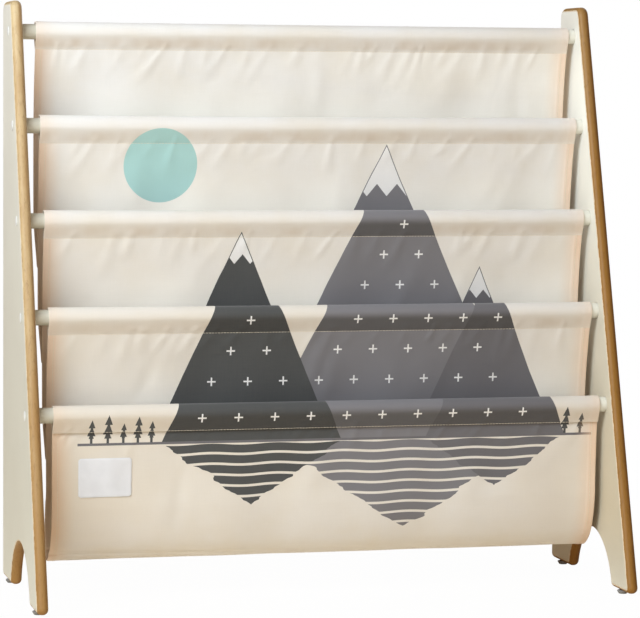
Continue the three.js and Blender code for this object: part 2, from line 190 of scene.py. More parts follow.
ROD_AXES = [rod_axis(index) for index in range(ROD_COUNT)]
ROD_PITCH = ROD_AXES[0][1] - ROD_AXES[1][1]
ROD_LOW, ROD_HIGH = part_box("rod_1")
ROD_RADIUS = (ROD_HIGH.z - ROD_LOW.z) / 2
CLOTH_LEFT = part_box("rod_sleeve_1")[0].x
CLOTH_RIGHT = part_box("rod_sleeve_1")[1].x
PANEL_LOW, PANEL_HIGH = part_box("side_panel_left")
BOARD_THICKNESS = PANEL_HIGH.x - PANEL_LOW.x
INNER_FACE = -PANEL_HIGH.x
OUTER_FACE = -PANEL_LOW.x
SOLE_Z = PANEL_LOW.z


# Meshes.


def add_object(name, data):
    """A new object in the scene."""
    piece = bpy.data.objects.new(name, data)
    bpy.context.scene.collection.objects.link(piece)
    return piece


def make_object(name, vertices, faces, materials, slots=None):
    """A new smooth object from points and faces, with its materials and each face's slot."""
    mesh = bpy.data.meshes.new(name)
    mesh.from_pydata([tuple(v) for v in vertices], [], [tuple(f) for f in faces])
    for material in materials:
        mesh.materials.append(material)
    if slots is not None:
        mesh.polygons.foreach_set("material_index", np.asarray(slots, np.int32))
    mesh.polygons.foreach_set("use_smooth", np.full(len(mesh.polygons), True))
    mesh.validate()
    mesh.update()
    return add_object(name, mesh)


def crisp(piece, angle_degrees):
    """Keeps the edges sharper than an angle, and gives wide faces the say over their corners' shading."""
    piece.data.set_sharp_from_angle(angle=math.radians(angle_degrees))
    weighted = piece.modifiers.new("weighted normals", "WEIGHTED_NORMAL")
    weighted.keep_sharp = True
    return piece


def carry(piece, slot, *nodes):
    """The piece rides on the shelf and stands for its nodes, which are hidden. Its slot is not used."""
    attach(piece, "root")
    if nodes:
        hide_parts(*nodes)
    return piece


def turned(profile, sides):
    """Points and faces of a form turned about the X axis. The profile gives radius and x from the form's
    low end to its high end, so that the faces look outwards. An end off the axis gets a flat face."""
    vertices, faces, rings = [], [], []
    for radius, x in profile:
        count = sides if radius else 1
        rings.append(list(range(len(vertices), len(vertices) + count)))
        for angle in 2 * math.pi * np.arange(count) / sides:
            vertices.append((x, radius * math.cos(angle), radius * math.sin(angle)))
    for ring, following in zip(rings, rings[1:]):
        for step in range(sides):
            after = (step + 1) % sides
            near = [ring[place % len(ring)] for place in (step, after)]
            far = [following[place % len(following)] for place in (after, step)]
            faces.append(list(dict.fromkeys(near + far)))
    faces += [ring for ring in (rings[0][::-1], rings[-1]) if len(ring) > 1]
    return np.array(vertices), faces


def mirrored(vertices, faces, side):
    """The points and faces of a form of the right side, mirrored if the side is the left one."""
    if side > 0:
        return vertices, faces
    return vertices * (-1, 1, 1), [face[::-1] for face in faces]


def unit(vectors):
    return vectors / np.linalg.norm(vectors, axis=-1, keepdims=True)


def arc_points(centre, radius, start, turn, steps):
    angles = start + turn * np.arange(steps + 1) / steps
    return np.stack([centre[0] + radius * np.cos(angles), centre[1] + radius * np.sin(angles)], 1)


def rounded_corner(before, corner, after, radius, steps):
    """The arc that rounds a corner of an outline, which runs anticlockwise."""
    before, corner, after = (np.array(point, float) for point in (before, corner, after))
    to_before, to_after = unit(before - corner), unit(after - corner)
    angle = math.acos(to_before @ to_after)
    centre = corner + unit(to_before + to_after) * radius / math.sin(angle / 2)
    start = corner + to_before * radius / math.tan(angle / 2) - centre
    return arc_points(centre, radius, math.atan2(start[1], start[0]), math.pi - angle, steps)


# The side panels.


def panel_outline():
    """The outline of a panel from the side, as y and z, anticlockwise from its toe."""
    front_lean = PANEL_DEPTH - TOP_DEPTH - REAR_LEAN

    def setback(angle):
        return FOOT_CORNER_RADIUS / math.tan(angle / 2) - FOOT_CORNER_RADIUS

    toe_setback = setback(math.atan2(PANEL_HEIGHT, front_lean))
    heel_setback = setback(math.atan2(PANEL_HEIGHT, REAR_LEAN))
    toe_y = -(PANEL_DEPTH + toe_setback - heel_setback) / 2
    heel_y = toe_y + PANEL_DEPTH
    toe, heel = (toe_y, 0), (heel_y, 0)
    top_rear = (heel_y - REAR_LEAN, PANEL_HEIGHT)
    top_front = (toe_y + front_lean, PANEL_HEIGHT)

    arch_middle = toe_y + FRONT_FOOT_DEPTH + ARCH_WIDTH / 2
    arch_radius = (ARCH_WIDTH**2 / 4 + ARCH_HEIGHT**2) / (2 * ARCH_HEIGHT)
    arch_centre = (arch_middle, ARCH_HEIGHT - arch_radius)
    rise = FOOT_CORNER_RADIUS - arch_centre[1]
    across = math.sqrt((arch_radius + FOOT_CORNER_RADIUS) ** 2 - rise**2)
    lift = math.atan2(rise, across)
    front_centre = (arch_middle - across, FOOT_CORNER_RADIUS)
    rear_centre = (arch_middle + across, FOOT_CORNER_RADIUS)
    quarter = math.pi / 2
    parts = [
        rounded_corner(top_front, toe, heel, FOOT_CORNER_RADIUS, CORNER_STEPS),
        arc_points(front_centre, FOOT_CORNER_RADIUS, -quarter, quarter - lift, CORNER_STEPS),
        arc_points(arch_centre, arch_radius, math.pi - lift, 2 * lift - math.pi, ARCH_STEPS)[1:-1],
        arc_points(rear_centre, FOOT_CORNER_RADIUS, math.pi + lift, quarter - lift, CORNER_STEPS),
        rounded_corner(toe, heel, top_rear, FOOT_CORNER_RADIUS, CORNER_STEPS),
        rounded_corner(heel, top_rear, top_front, TOP_CORNER_RADIUS, CORNER_STEPS),
        rounded_corner(top_rear, top_front, toe, TOP_CORNER_RADIUS, CORNER_STEPS),
    ]
    outline = np.concatenate(parts)
    outline[:, 1] += SOLE_Z
    return divided(outline, STRAIGHT_SPACING)


def divided(outline, longest):
    """A closed outline whose long straight stretches have points along them."""
    points = []
    for here, there in zip(outline, np.roll(outline, -1, axis=0)):
        steps = max(1, math.ceil(np.linalg.norm(there - here) / longest))
        points += [here + (there - here) * step / steps for step in range(steps)]
    return np.array(points)


def outline_normals(outline):
    """The outward direction at each point of an anticlockwise outline."""
    ahead = unit(np.roll(outline, -1, axis=0) - outline)
    along = unit(ahead + np.roll(ahead, 1, axis=0))
    return np.stack([along[:, 1], -along[:, 0]], 1)


def ring_faces(first, second, count, flip):
    """Quads between two rings of points that close on themselves."""
    faces = []
    for step in range(count):
        after = (step + 1) % count
        quad = [first + step, first + after, second + after, second + step]
        faces.append(quad[::-1] if flip else quad)
    return faces


def face_with_holes(rim, holes):
    """Triangles, as indices into the rim and then the holes, of a flat face with round holes."""
    loops = [rim, *holes]
    points = np.concatenate(loops)
    edges, start = [], 0
    for loop in loops:
        edges += [(start + step, start + (step + 1) % len(loop)) for step in range(len(loop))]
        start += len(loop)
    result = geometry.delaunay_2d_cdt([Vector(p) for p in points], edges, [], 1, 1e-7)
    found, triangles, origin = result[0], result[2], result[3]
    centres = [hole.mean(0) for hole in holes]
    radii = [np.linalg.norm(hole[0] - middle) for hole, middle in zip(holes, centres)]
    kept = []
    for triangle in triangles:
        middle = np.mean([found[corner] for corner in triangle], axis=0)
        if any(np.linalg.norm(middle - c) < radius for c, radius in zip(centres, radii)):
            continue
        kept.append([origin[corner][0] for corner in triangle])
    return kept


def circle(centre, radius, sides):
    return arc_points(centre, radius, 0, 2 * math.pi, sides)[:-1]


def side_panel(name, side, paint, wood):
    """A board with rounded edges of bare wood and painted faces, with a rod's socket, hole and counterbore
    five times. It is made as the right board, with its inner face at low x."""
    outline = panel_outline()
    normals = outline_normals(outline)
    count = len(outline)
    half = BOARD_THICKNESS / 2
    rings = []
    for angle in np.linspace(0, math.pi / 2, ROUNDING_STEPS + 1):
        rings.append((EDGE_ROUNDING * (1 - math.sin(angle)), half - EDGE_ROUNDING * (1 - math.cos(angle))))
    rings += [(inset, -x) for inset, x in reversed(rings)]
    vertices, faces = [], []
    for inset, x in rings:
        vertices += [(x, y, z) for y, z in outline - normals * inset]
    for ring in range(len(rings) - 1):
        faces += ring_faces(ring * count, (ring + 1) * count, count, True)
    wood_faces = slice(count, (len(rings) - 2) * count)

    # Each hole is a run of circles from the inner face to the outer one.
    hole = (
        (SOCKET_RADIUS, -half),
        (SOCKET_RADIUS, SOCKET_DEPTH - half),
        (SCREW_HOLE_RADIUS, SOCKET_DEPTH - half),
        (SCREW_HOLE_RADIUS, half - COUNTERBORE_DEPTH),
        (COUNTERBORE_RADIUS, half - COUNTERBORE_DEPTH),
        (COUNTERBORE_RADIUS, half),
    )
    inner_holes, outer_holes = [], []
    for axis in ROD_AXES:
        starts = []
        for radius, x in hole:
            starts.append(len(vertices))
            vertices += [(x, y, z) for y, z in circle(axis, radius, HOLE_SIDES)]
        for first, second in zip(starts, starts[1:]):
            faces += ring_faces(first, second, HOLE_SIDES, True)
        inner_holes.append(list(range(starts[0], starts[0] + HOLE_SIDES)))
        outer_holes.append(list(range(starts[-1], starts[-1] + HOLE_SIDES)))

    # The two flat faces.
    vertices = np.array(vertices)
    for sense, ring, holes in ((1, 0, outer_holes), (-1, len(rings) - 1, inner_holes)):
        loops = [list(range(ring * count, (ring + 1) * count)), *holes]
        index = sum(loops, [])
        rim, *openings = (vertices[loop][:, 1:] for loop in loops)
        for triangle in face_with_holes(rim, openings):
            corners = [index[corner] for corner in triangle]
            a, b, c = vertices[corners]
            looks_in = np.cross(b - a, c - a)[0] * sense < 0
            faces.append(corners[::-1] if looks_in else corners)
    slots = np.zeros(len(faces), int)
    slots[wood_faces] = 1
    vertices[:, 0] += (INNER_FACE + OUTER_FACE) / 2
    vertices, faces = mirrored(vertices, faces, side)
    return crisp(make_object(name, vertices, faces, [paint, wood], slots), BOARD_EDGE_ANGLE)


# The rods, their fittings and the caps.


def round_rod(index, paint):
    """A painted rod with softened ends, bored for its inserts."""
    half = (ROD_HIGH.x - ROD_LOW.x) / 2
    shoulder = ROD_SOFTENING * 0.3
    end = [
        (0, ROD_BORE_DEPTH - half),
        (ROD_BORE_RADIUS, ROD_BORE_DEPTH - half),
        (ROD_BORE_RADIUS, -half),
        (ROD_RADIUS - ROD_SOFTENING, -half),
        (ROD_RADIUS - shoulder, shoulder - half),
        (ROD_RADIUS, ROD_SOFTENING - half),
    ]
    rings = np.linspace(ROD_RING_INSET - half, half - ROD_RING_INSET, ROD_RINGS)
    profile = [*end, *((ROD_RADIUS, x) for x in rings), *((radius, -x) for radius, x in reversed(end))]
    vertices, faces = turned(profile, ROD_SIDES)
    vertices += (0, *ROD_AXES[index])
    rod = make_object(f"painted_rod_{index + 1}", vertices, faces, [paint])
    return carry(crisp(rod, ROD_EDGE_ANGLE), "rod_paint", f"rod_{index + 1}")


def screw_cap(side_name, side, index, plastic):
    """A domed cap with a rounded lip over a screw's head. It is made as one of the right side."""
    node = f"cap_{side_name}_{index + 1}"
    low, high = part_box(node)
    radius = (high.z - low.z) / 2
    dome_start = CAP_GAP + CAP_LIP
    dome_rise = max(high.x, -low.x) - OUTER_FACE - dome_start
    profile = [
        (0, -CAP_PLUG_DEPTH),
        (CAP_PLUG_RADIUS, -CAP_PLUG_DEPTH),
        (CAP_PLUG_RADIUS, CAP_GAP),
        (radius - CAP_LIP / 3, CAP_GAP),
        (radius, CAP_GAP + CAP_LIP / 3),
        (radius, CAP_GAP + CAP_LIP * 0.7),
    ]
    for step in range(1, CAP_DOME_STEPS + 1):
        share = step / CAP_DOME_STEPS
        profile.append((radius * (1 - share), dome_start + dome_rise * math.sin(share * math.pi / 2)))
    vertices, faces = turned(profile, FITTING_SIDES)
    vertices += (OUTER_FACE, *ROD_AXES[index])
    vertices, faces = mirrored(vertices, faces, side)
    cap = make_object(f"screw_cap_{side_name}_{index + 1}", vertices, faces, [plastic])
    return carry(crisp(cap, CAP_EDGE_ANGLE), "cap", node)


def glide(foot, side_name, plastic):
    """A turned glide under a foot, with a softened rim and a tapered foot."""
    node = f"glide_{foot}_{side_name}"
    low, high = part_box(node)
    radius = (high.y - low.y) / 2
    top, rim = SOLE_Z - GLIDE_GAP, SOLE_Z - GLIDE_RIM_DROP
    profile = [
        (0, low.z),
        (GLIDE_FOOT_RADIUS - GLIDE_SOFTENING, low.z),
        (GLIDE_FOOT_RADIUS, low.z + GLIDE_SOFTENING),
        (radius - GLIDE_SOFTENING / 2, rim - GLIDE_SOFTENING),
        (radius, rim),
        (radius, top - GLIDE_SOFTENING),
        (radius - GLIDE_SOFTENING, top),
        (0, top),
    ]
    vertices, faces = turned(profile, FITTING_SIDES)
    vertices = vertices[:, (1, 2, 0)] + ((low.x + high.x) / 2, (low.y + high.y) / 2, 0)
    piece = make_object(f"foot_glide_{foot}_{side_name}", vertices, faces, [plastic])
    return carry(crisp(piece, GLIDE_EDGE_ANGLE), "glide", node)


# How the cloth hangs.


def smoothstep(value, low, high):
    share = np.clip((value - low) / (high - low), 0, 1)
    return share * share * (3 - 2 * share)


def bell(value, width):
    return np.exp(-((value / width) ** 2) / 2)


# The tucks where the cloth is gathered into a seam, and the long folds below it. Each value is drawn evenly
# from its range. A lean is how far across, and a spread how much wider, a form gets for each length down.
TUCK_SEED = 7
TUCK_START = (12 * MM, 30 * MM)
TUCK_STEP = (11 * MM, 36 * MM)
TUCK_END = 12 * MM
TUCK = {
    "lean": (-0.75, -0.1),
    "reach": (16 * MM, 52 * MM),
    "width": (1.6 * MM, 3.6 * MM),
    "spread": (0.06, 0.16),
    "depth": (0.3 * MM, 0.95 * MM),
}
FOLD_SEED = 35
FOLD_COUNT = 11
FOLD = {
    "x": (CLOTH_LEFT, CLOTH_RIGHT),
    "top": (14 * MM, 45 * MM),
    "lean": (-0.55, 0.1),
    "length": (50 * MM, 110 * MM),
    "width": (5 * MM, 13 * MM),
    "depth": (0.35 * MM, 0.95 * MM),
}


def drawn(draw, ranges):
    """A value for each name, drawn evenly from its range."""
    return {name: draw.uniform(*ends) for name, ends in ranges.items()}


def tucks_at(rod):
    """Where the cloth is drawn in along one rod's seam. A small ridge crosses the seam and fades below
    it."""
    draw = np.random.default_rng(TUCK_SEED + rod)
    found = []
    x = CLOTH_LEFT + draw.uniform(*TUCK_START)
    while x < CLOTH_RIGHT - TUCK_END:
        found.append({"x": x, **drawn(draw, TUCK)})
        x += draw.uniform(*TUCK_STEP)
    return found


def folds_under(rod):
    """The long soft folds in the cloth that hangs from one rod, upright or leaning a little."""
    draw = np.random.default_rng(FOLD_SEED + rod)
    found = []
    for _ in range(FOLD_COUNT):
        fold = drawn(draw, FOLD)
        fold["depth"] *= draw.choice((1, -1))
        found.append(fold)
    return found


TUCKS = [tucks_at(rod) for rod in range(ROD_COUNT)]
FOLDS = [folds_under(rod) for rod in range(ROD_COUNT)]


def swell(value, rise, fade):
    """From 0 to 1 between the two places of rise, and back to 0 between those of fade."""
    return smoothstep(value, *rise) * (1 - smoothstep(value, *fade))


def hang(rod, x, drop):
    """How far the cloth under a rod lies behind its smooth line. Both legs of a seam share it."""
    below = drop - SEAM_DROP
    phase = rod * FOLD_PHASE_STEP
    wave = np.sin(2 * np.pi * x / FOLD_SPACING + phase)
    short = np.sin(2 * np.pi * x / (FOLD_SPACING * SHORT_FOLD_SHARE) - 2 * phase)
    shift = FOLD_DEPTH * (wave + SHORT_FOLD_SHARE * short) * smoothstep(below, 0, FOLD_FADE)
    for tuck in TUCKS[rod]:
        reach = tuck["reach"]
        width = tuck["width"] + tuck["spread"] * np.maximum(below, 0)
        along = swell(below, (TUCK_TOP - SEAM_DROP, -TUCK_FULL_RISE), (TUCK_FADE_SHARE * reach, reach))
        along = along * (1 - TUCK_SEAM_SHARE * bell(below, TUCK_SEAM_WIDTH))
        shift = shift - tuck["depth"] * along * bell(x - tuck["x"] - tuck["lean"] * below, width)
    for fold in FOLDS[rod]:
        down, length = drop - fold["top"], fold["length"]
        along = swell(down, (0, FOLD_RISE_SHARE * length), (FOLD_FADE_SHARE * length, length))
        shift = shift + fold["depth"] * along * bell(x - fold["x"] - fold["lean"] * down, fold["width"])
    return shift


def leg_behind_rod(drop, bow):
    """How far the cloth at a drop below a rod hangs behind its axis."""
    full = ROD_PITCH + POCKET_DEPTH / 2
    share = np.minimum(1, (drop - SEAM_DROP) / (full - SEAM_DROP))
    return bow * (1 - (1 - share) ** 3)


def sling_profile(index):
    """A sling's middle line from its rear seam down, under and up to its front seam, as y and z, with how
    much it takes of the folds under its rear and its front rod."""
    lowest = index == SLING_COUNT - 1
    rear, front = ROD_AXES[index], ROD_AXES[index + 1]
    depth = LOWEST_POCKET_DEPTH if lowest else POCKET_DEPTH
    front_bow = LOWEST_LEG_BOW if lowest else LEG_BOW
    leg_top = SEAM_DROP + SEAM_GAP
    turn_start = ROD_PITCH + depth * TURN_START_SHARE
    rows = []
    for share in REAR_LEG_SHARES:
        drop = leg_top + (turn_start - leg_top) * share
        rows.append((rear[0] + leg_behind_rod(drop, LEG_BOW) - LEG_SPACING / 2, rear[1] - drop, 1, 0))
    turns = LOWEST_TURN_SHARES if lowest else POCKET_TURN_SHARES
    nearest = front[0] + front_bow + LEG_SPACING / 2
    furthest = front[0] + LOWEST_POCKET_REACH if lowest else rear[0] + LEG_BOW - LEG_SPACING / 2
    for step, (reach_share, depth_share) in enumerate(turns):
        front_fold = min(1, (step + 1) / len(turns) * 2)
        y = nearest + (furthest - nearest) * reach_share
        rows.append((y, front[1] - depth * depth_share, 1 - front_fold, front_fold))
    for share in FRONT_LEG_SHARES:
        drop = leg_top + (depth - leg_top) * share
        rows.append((front[0] + leg_behind_rod(drop, front_bow) + LEG_SPACING / 2, front[1] - drop, 0, 1))
    return smooth_line(np.array(rows, float), ROW_SPACING / 2 if lowest else ROW_SPACING)


def run_along(points):
    """How far along a line of points each one lies."""
    return np.concatenate([[0], np.cumsum(np.linalg.norm(np.diff(points, axis=0), axis=1))])


def values_at(places, run, rows):
    """The rows that belong to a run's points, read at other places along it, a line for each column."""
    return np.array([np.interp(places, run, column) for column in rows.T])


def smooth_line(rows, spacing):
    """A smooth curve through the rows' points, cut into even steps. The other columns go along."""
    padded = np.concatenate([[2 * rows[0] - rows[1]], rows, [2 * rows[-1] - rows[-2]]])
    fine = []
    for place in range(len(rows) - 1):
        a, b, c, d = padded[place : place + 4]
        for t in np.arange(CURVE_STEPS) / CURVE_STEPS:
            point = 2 * b + (c - a) * t + (2 * a - 5 * b + 4 * c - d) * t**2 + (3 * b - a - 3 * c + d) * t**3
            fine.append(point / 2)
    fine = np.array([*fine, rows[-1]])
    run = run_along(fine[:, :2])
    return values_at(np.linspace(0, run[-1], max(2, round(run[-1] / spacing)) + 1), run, fine).T


def cloth_columns():
    """The places across the shelf where the cloth has points, close together at its hems."""
    hem = np.array([*HEM_COLUMNS, HEM_WIDTH, HEM_WIDTH + HEM_STEP / 2, HEM_WIDTH + HEM_STEP])
    left, right = CLOTH_LEFT + hem, CLOTH_RIGHT - hem[::-1]
    count = round((right[0] - left[-1]) / COLUMN_SPACING)
    return np.concatenate([left, np.linspace(left[-1], right[0], count + 1)[1:-1], right])


def cloth_thickness(x):
    """Thick and round-edged at the hems, thin between them."""
    inset = np.minimum(x - CLOTH_LEFT, CLOTH_RIGHT - x)
    thinning = smoothstep(inset, HEM_WIDTH, HEM_WIDTH + HEM_STEP)
    hem = HEM_THICKNESS + (CLOTH_THICKNESS - HEM_THICKNESS) * thinning
    past_edge = 1 - np.clip(inset / (HEM_THICKNESS / 2), 0, 1)
    return hem * np.sqrt(np.clip(1 - past_edge**2, HEM_EDGE_SHARE, 1))


def grid_normals(points):
    """The direction square to a grid of points, columns by rows."""
    return unit(np.cross(np.gradient(points, axis=0), np.gradient(points, axis=1)))


def one_slot(row, skin):
    """The slot of a face on a sheet of one material."""
    return row * 0


def closed_sheet(name, points, thickness, materials, slot_of):
    """A sheet with two skins joined round its edge, from a grid of points and its thickness there."""
    columns, rows = points.shape[:2]
    normals = grid_normals(points)
    half = thickness[:, :, None] / 2
    skins = [points + normals * half, points - normals * half]
    vertices = np.concatenate([skin.reshape(-1, 3) for skin in skins])
    offset = columns * rows
    number = np.arange(offset).reshape(columns, rows)
    a, b = number[:-1, :-1].ravel(), number[1:, :-1].ravel()
    c, d = number[1:, 1:].ravel(), number[:-1, 1:].ravel()
    outer = np.stack([a, b, c, d], 1)
    inner = np.stack([a, d, c, b], 1) + offset
    edge = np.concatenate([number[:-1, 0], number[-1, :-1], number[:0:-1, -1], number[0, :0:-1]])
    after = np.roll(edge, -1)
    rim = np.stack([edge, edge + offset, after + offset, after], 1)
    faces = np.concatenate([outer, inner, rim])
    row_of = np.tile(np.arange(rows - 1), columns - 1)
    slots = np.concatenate([slot_of(row_of, 0), slot_of(row_of, 1), np.zeros(len(rim), int)])
    piece = make_object(name, vertices, faces.tolist(), materials, slots)
    piece.data.set_sharp_from_angle(angle=math.radians(SHEET_EDGE_ANGLE))
    return piece


def bottom_crease(x, height):
    """The crease just above the lowest sling's bottom. It rises towards the left and fades to the right."""
    along = np.clip((x - CLOTH_LEFT) / BOTTOM_CREASE_LENGTH, 0, 1)
    above = height - BOTTOM_CREASE_RISE * (1 - along)
    return BOTTOM_CREASE_DEPTH * (1 - along**2) * bell(above, BOTTOM_CREASE_WIDTH)


def sling_surface(index):
    """The middle of a sling's cloth as a grid of points, with its profile."""
    profile = sling_profile(index)
    x = cloth_columns()[:, None]
    y, z, rear_share, front_share = (profile[:, k][None, :] for k in range(4))
    shift = rear_share * hang(index, x, ROD_AXES[index][1] - z)
    shift = shift + front_share * hang(index + 1, x, ROD_AXES[index + 1][1] - z)
    if index == SLING_COUNT - 1:
        shift = shift + front_share * bottom_crease(x, z - z.min())
    points = np.stack(np.broadcast_arrays(x, y + shift, z), 2)
    return points, profile


def sling(index, plain, printed):
    """One sling of canvas. Its picture is on the side of the rear leg that faces the front, and on the
    lowest sling on the front leg too."""
    points, profile = sling_surface(index)
    thickness = np.broadcast_to(cloth_thickness(points[:, 0, 0])[:, None], points.shape[:2])
    lowest = index == SLING_COUNT - 1
    low_row = int(np.argmin(profile[:, 1]))

    def slot_of(row, skin):
        rear = row < low_row
        shown = (rear & (skin == 1)) | (~rear & (skin == 0) & lowest)
        return shown.astype(int)

    piece = closed_sheet(f"sling_cloth_{index + 1}", points, thickness, [plain, printed], slot_of)
    carry(piece, "canvas", f"sling_{index + 1}")
    return points, profile


# The sleeves round the rods.


def sleeve_line(radius, lift):
    """A sleeve's section from the rear of the seam, over the rod and down to its front, as y and z."""
    tip = np.array((LEG_SPACING / 2, -SEAM_DROP))
    reach = np.linalg.norm(tip)
    start = math.atan2(tip[1], tip[0]) + math.acos(radius / reach)
    angles = np.linspace(start, math.pi - start, SLEEVE_ARC_POINTS)
    over = np.stack([radius * np.cos(angles), radius * np.sin(angles)], 1)
    over[:, 1] += lift * np.clip(np.sin(angles), 0, 1)
    straight = np.linspace(0, 1, SLEEVE_SIDE_STEPS + 1)[:, None]
    rear = tip + (over[0] - tip) * straight[:-1]
    front = over[-1] + (tip * (-1, 1) - over[-1]) * straight[1:]
    return np.concatenate([rear, over, front])


def sleeve_surface(rod):
    """The middle of a sleeve's cloth as a grid of points."""
    x = cloth_columns()
    radius = ROD_RADIUS + SLEEVE_CLEARANCE + SLEEVE_THICKNESS / 2
    lifts = SLEEVE_LIFTS[rod] * np.exp(-(x - CLOTH_LEFT) / SLEEVE_LIFT_FADE)
    section = np.array([sleeve_line(radius, lift) for lift in lifts])
    section[:, :, 0] += hang(rod, x[:, None], -section[:, :, 1])
    across = np.broadcast_to(x[:, None, None], (*section.shape[:2], 1))
    return np.concatenate([across, section + ROD_AXES[rod]], 2)


def sleeve(rod, printed):
    points = sleeve_surface(rod)
    share = np.minimum(cloth_thickness(points[:, 0, 0]) / CLOTH_THICKNESS, SLEEVE_HEM_SHARE)
    thickness = np.broadcast_to((share * SLEEVE_THICKNESS)[:, None], points.shape[:2])
    piece = closed_sheet(f"sleeve_cloth_{rod + 1}", points, thickness, [printed], one_slot)
    carry(piece, "sleeve_canvas", f"rod_sleeve_{rod + 1}")
    return points


# Threads.


def stitches(name, runs, thread):
    """Threads along runs of points. Each run is its points and the direction out of the cloth there."""
    shape, shape_faces = turned(STITCH_PROFILE, STITCH_SIDES)
    shape = shape * (STITCH_LENGTH, STITCH_RADIUS, STITCH_RADIUS)
    vertices, faces = [], []
    for points, outward in runs:
        run = run_along(points)
        for place in (np.arange(int(run[-1] / STITCH_PITCH)) + 0.5) * STITCH_PITCH:
            here = values_at(place, run, points)
            along = unit(values_at(place + STITCH_LOOK_AHEAD, run, points) - here)
            out = values_at(place, run, outward)
            out = unit(out - along * (out @ along))
            basis = np.stack([along, np.cross(out, along), out])
            start = len(vertices)
            vertices += list(here + out * STITCH_RADIUS * STITCH_SINK_SHARE + shape @ basis)
            faces += [[start + corner for corner in face] for face in shape_faces]
    return make_object(name, vertices, faces, [thread])


# The label.


def label(profile, cloth):
    """A blank woven patch with a raised rim, on the front leg of the lowest sling."""
    low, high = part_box("label_patch")
    width, height = high.x - low.x, high.z - low.z
    middle_x, middle_z = low.x + width / 2, low.z + height / 2
    front = (profile[:, 3] == 1) & (np.arange(len(profile)) > np.argmin(profile[:, 1]))
    line = profile[front][np.argsort(profile[front][:, 1])]
    z = np.linspace(high.z, low.z, LABEL_ROWS + 1)
    past = np.clip(np.abs(z - middle_z) - (height / 2 - LABEL_CORNER), 0, LABEL_CORNER)
    half = width / 2 - LABEL_CORNER + np.sqrt(LABEL_CORNER**2 - past**2)
    x = middle_x + np.linspace(-1, 1, LABEL_COLUMNS + 1)[:, None] * half
    z = np.broadcast_to(z, x.shape)
    edge = np.minimum(half - np.abs(x - middle_x), height / 2 - np.abs(z - middle_z))
    raised = 1 + LABEL_RIM_RISE * bell(edge - LABEL_RIM / 2, LABEL_RIM / 2.5)
    rise = smoothstep(edge, 0, LABEL_EDGE_FADE) * raised
    thickness = LABEL_THICKNESS * (LABEL_EDGE_SHARE + LABEL_RISE_SHARE * rise)
    y = np.interp(z, line[:, 1], line[:, 0]) + hang(ROD_COUNT - 1, x, ROD_AXES[-1][1] - z)
    y = y - CLOTH_THICKNESS / 2 - LABEL_THICKNESS / 2 - LABEL_GAP
    piece = closed_sheet("blank_label", np.stack([x, y, z], 2), thickness, [cloth], one_slot)
    carry(piece, "label", "label_patch")


# Materials. A Field is a number that varies over a surface, and sums of Fields become Math nodes.


def feed(tree, value, socket):
    """Links a Field or an output to an input, or gives the input a plain value."""
    if isinstance(value, Field):
        value = value.socket
    if isinstance(value, bpy.types.NodeSocket):
        tree.links.new(value, socket)
    else:
        socket.default_value = value


def add_node(tree, kind, inputs, **settings):
    """A new shader node with its settings, and its inputs fed by name or place."""
    node = tree.nodes.new(f"ShaderNode{kind}")
    for name, value in settings.items():
        setattr(node, name, value)
    for name, value in inputs.items():
        feed(tree, value, node.inputs[name])
    return node


class Field:
    def __init__(self, tree, socket):
        self.tree, self.socket = tree, socket

    def apply(self, operation, *others):
        node = add_node(self.tree, "Math", dict(enumerate((self, *others))), operation=operation)
        return Field(self.tree, node.outputs[0])

    __add__ = partialmethod(apply, "ADD")
    __sub__ = partialmethod(apply, "SUBTRACT")
    __mul__ = partialmethod(apply, "MULTIPLY")
    __lt__ = partialmethod(apply, "LESS_THAN")
    __gt__ = partialmethod(apply, "GREATER_THAN")
    low = partialmethod(apply, "MINIMUM")
    high = partialmethod(apply, "MAXIMUM")
    abs = partialmethod(apply, "ABSOLUTE")
    sine = partialmethod(apply, "SINE")
    root = partialmethod(apply, "SQRT")

    def wrap(self, low, high):
        return self.apply("WRAP", high, low)

    def between(self, low, high):
        """From 0 at low to 1 at high, smoothly."""
        inputs = {"Value": self, "From Min": low, "From Max": high}
        node = add_node(self.tree, "MapRange", inputs, interpolation_type="SMOOTHSTEP")
        return Field(self.tree, node.outputs["Result"])


class Look:
    """A node material with a Principled shader, and short ways to add to it."""

    def __init__(self, name, roughness, specular=0.5):
        self.material = bpy.data.materials.new(name)
        self.material.use_nodes = True
        self.tree = self.material.node_tree
        self.shader = self.tree.nodes["Principled BSDF"]
        self.set("Roughness", roughness)
        self.set("Specular IOR Level", specular)
        self.place = self.tree.nodes.new("ShaderNodeTexCoord").outputs["Object"]
        split = add_node(self.tree, "SeparateXYZ", {0: self.place})
        self.x, self.y, self.z = (Field(self.tree, output) for output in split.outputs)

    def set(self, name, value):
        feed(self.tree, value, self.shader.inputs[name])

    def noise(self, scale, detail, roughness=0.55, stretch=(1, 1, 1), distortion=0.0):
        place = add_node(self.tree, "Mapping", {"Vector": self.place, "Scale": stretch}).outputs["Vector"]
        inputs = {"Vector": place, "Scale": scale, "Detail": detail, "Roughness": roughness}
        node = add_node(self.tree, "TexNoise", {**inputs, "Distortion": distortion})
        return Field(self.tree, node.outputs["Fac"])

    def mix(self, factor, first, second):
        """A colour between two, each a colour or another mix's output."""
        node = add_node(self.tree, "Mix", {"Factor": factor}, data_type="RGBA")
        for name, value in (("A", first), ("B", second)):
            feed(self.tree, value, next(s for s in node.inputs if s.name == name and s.type == "RGBA"))
        return next(s for s in node.outputs if s.type == "RGBA")

    def relief(self, field, distance, strength):
        """A bump. The distance is the height of the field's range."""
        node = add_node(self.tree, "Bump", {"Strength": strength, "Distance": distance, "Height": field})
        self.set("Normal", node.outputs["Normal"])


